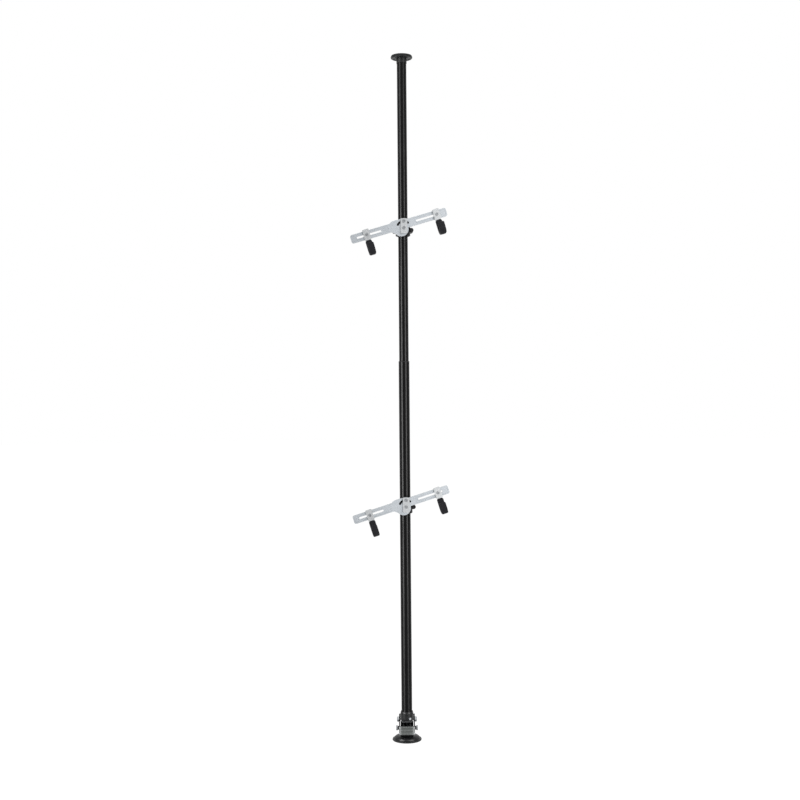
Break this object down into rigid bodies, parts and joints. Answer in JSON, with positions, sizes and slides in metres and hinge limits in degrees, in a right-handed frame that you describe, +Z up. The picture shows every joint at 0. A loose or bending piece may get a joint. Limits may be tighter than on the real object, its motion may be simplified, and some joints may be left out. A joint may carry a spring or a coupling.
{
  "type": "bike storage stand",
  "caption": "Telescopic floor-to-ceiling pole with a foot rocker lock and two tilting, swivelling slotted arms that each carry padded bicycle cradles.",
  "frame": {"origin": "centre of the floor pad's underside, on the pole's axis", "axes": "+Z up along the pole, -Y to the front where the cradles hang, +X to the raised end of the arms"},
  "size_m": [0.4062, 0.1655, 2.87],
  "materials": {
    "rubber_black": "matt black rubber",
    "black_cast": "satin black coated casting",
    "zinc_steel": "bright zinc plated steel",
    "ground_steel": "ground steel",
    "white_plastic": "natural white plastic",
    "silver_alloy": "bead blasted and anodised silver",
    "ribbed_alloy": "cast alloy, grey in its ribs",
    "bright_alloy": "polished silver alloy",
    "black_plastic": "grained black plastic",
    "black_tube": "gloss black anodised",
    "spring_steel": "zinc plated spring wire",
    "cradle_rubber": "soft black rubber"
  },
  "bodies": {
    "base": {"floor_sole": "rubber_black", "floor_pad": "black_cast", "base_yoke": "black_cast", "base_fasteners": "zinc_steel", "guide_spindle": "black_cast", "guide_disc": "white_plastic"},
    "rocker": {"rocker_shaft": "ground_steel", "shaft_spacers": "black_plastic", "rocker_arms": "black_cast", "front_tread": "ribbed_alloy", "rear_tread": "black_plastic", "lift_cams": "black_cast", "tread_bolts": "zinc_steel"},
    "column": {"column_foot": "black_cast", "wear_plate": "ground_steel", "foot_screws": "zinc_steel", "lower_tube": "black_tube", "telescope_bush": "black_plastic", "lock_boss": "black_cast"},
    "mast": {"upper_tube": "black_tube", "slide_plug": "white_plastic", "top_bush": "white_plastic", "tension_spring": "spring_steel", "spring_seat": "white_plastic"},
    "height_lock": {"lock_knob": "black_plastic"},
    "ceiling_pad": {"ceiling_cap": "black_cast", "ceiling_sole": "rubber_black", "ceiling_stem": "ground_steel"},
    "upper_carriage": {"upper_liner": "black_plastic"},
    "upper_clamp": {"upper_clamp_front": "black_cast", "upper_clamp_rear": "black_cast", "upper_clamp_bolts": "zinc_steel", "upper_face_plate": "bright_alloy", "upper_pivot_bolts": "zinc_steel"},
    "upper_knob": {"upper_clamp_knob": "black_plastic"},
    "upper_beam": {"upper_arm": "silver_alloy"},
    "upper_left_cradle": {"upper_left_slider": "bright_alloy", "upper_left_slider_bolt": "zinc_steel", "upper_left_hook": "silver_alloy", "upper_left_hook_pad": "cradle_rubber"},
    "upper_right_cradle": {"upper_right_slider": "bright_alloy", "upper_right_slider_bolt": "zinc_steel", "upper_right_hook": "silver_alloy", "upper_right_hook_pad": "cradle_rubber"},
    "lower_carriage": {"lower_liner": "black_plastic"},
    "lower_clamp": {"lower_clamp_front": "black_cast", "lower_clamp_rear": "black_cast", "lower_clamp_bolts": "zinc_steel", "lower_face_plate": "bright_alloy", "lower_pivot_bolts": "zinc_steel"},
    "lower_knob": {"lower_clamp_knob": "black_plastic"},
    "lower_beam": {"lower_arm": "silver_alloy"},
    "lower_left_cradle": {"lower_left_slider": "bright_alloy", "lower_left_slider_bolt": "zinc_steel", "lower_left_hook": "silver_alloy", "lower_left_hook_pad": "cradle_rubber"},
    "lower_right_cradle": {"lower_right_slider": "bright_alloy", "lower_right_slider_bolt": "zinc_steel", "lower_right_hook": "silver_alloy", "lower_right_hook_pad": "cradle_rubber"}
  },
  "joints": [
    {"name": "column_lift", "type": "slide", "parent": "base", "child": "column", "axis": [0, 0, 1], "range_m": [-0.01005, 0]},
    {"name": "rocker_turn", "type": "hinge", "parent": "base", "child": "rocker", "pos_m": [-0.00139, -0.01594, 0.055], "axis": [-0.9962, 0.0872, 0], "range_deg": [0, 36]},
    {"name": "telescope", "type": "slide", "parent": "column", "child": "mast", "axis": [0, 0, 1], "range_m": [-0.35, 0.33]},
    {"name": "height_lock_turn", "type": "hinge", "parent": "column", "child": "height_lock", "pos_m": [0, 0.045, 1.543], "axis": [0, 1, 0], "range_deg": [0, 540]},
    {"name": "ceiling_travel", "type": "slide", "parent": "mast", "child": "ceiling_pad", "axis": [0, 0, 1], "range_m": [-0.012, 0], "stiffness_N_per_m": 12000, "springref_m": 0.002, "deforming": ["tension_spring"]},
    {"name": "upper_height", "type": "slide", "parent": "mast", "child": "upper_carriage", "axis": [0, 0, 1], "range_m": [-0.1, 0.55]},
    {"name": "upper_swivel", "type": "hinge", "parent": "upper_carriage", "child": "upper_clamp", "pos_m": [0, 0, 2.142], "axis": [0, 0, 1], "continuous": true},
    {"name": "upper_knob_turn", "type": "hinge", "parent": "upper_clamp", "child": "upper_knob", "pos_m": [0.03505, 0.03, 2.138], "axis": [0, 1, 0], "range_deg": [0, 540]},
    {"name": "upper_tilt", "type": "hinge", "parent": "upper_clamp", "child": "upper_beam", "pos_m": [0, -0.03885, 2.142], "axis": [0, -1, 0], "range_deg": [-60, 29]},
    {"name": "upper_left_slide", "type": "slide", "parent": "upper_beam", "child": "upper_left_cradle", "axis": [-0.9588, 0, -0.284], "range_m": [-0.0603, 0.0383]},
    {"name": "upper_right_slide", "type": "slide", "parent": "upper_beam", "child": "upper_right_cradle", "axis": [0.9588, 0, 0.284], "range_m": [-0.0853, 0.0133]},
    {"name": "lower_height", "type": "slide", "parent": "column", "child": "lower_carriage", "axis": [0, 0, 1], "range_m": [-0.6, 0.42]},
    {"name": "lower_swivel", "type": "hinge", "parent": "lower_carriage", "child": "lower_clamp", "pos_m": [0, 0, 0.981], "axis": [0, 0, 1], "continuous": true},
    {"name": "lower_knob_turn", "type": "hinge", "parent": "lower_clamp", "child": "lower_knob", "pos_m": [0.03505, 0.03, 0.977], "axis": [0, 1, 0], "range_deg": [0, 540]},
    {"name": "lower_tilt", "type": "hinge", "parent": "lower_clamp", "child": "lower_beam", "pos_m": [0, -0.03885, 0.981], "axis": [0, -1, 0], "range_deg": [-62, 27]},
    {"name": "lower_left_slide", "type": "slide", "parent": "lower_beam", "child": "lower_left_cradle", "axis": [-0.9548, 0, -0.2974], "range_m": [-0.0568, 0.0418]},
    {"name": "lower_right_slide", "type": "slide", "parent": "lower_beam", "child": "lower_right_cradle", "axis": [0.9548, 0, 0.2974], "range_m": [-0.0818, 0.0168]}
  ],
  "couplings": [
    {"joint": "rocker_turn", "follows": "column_lift", "rad_per_m": -62.5}
  ]
}
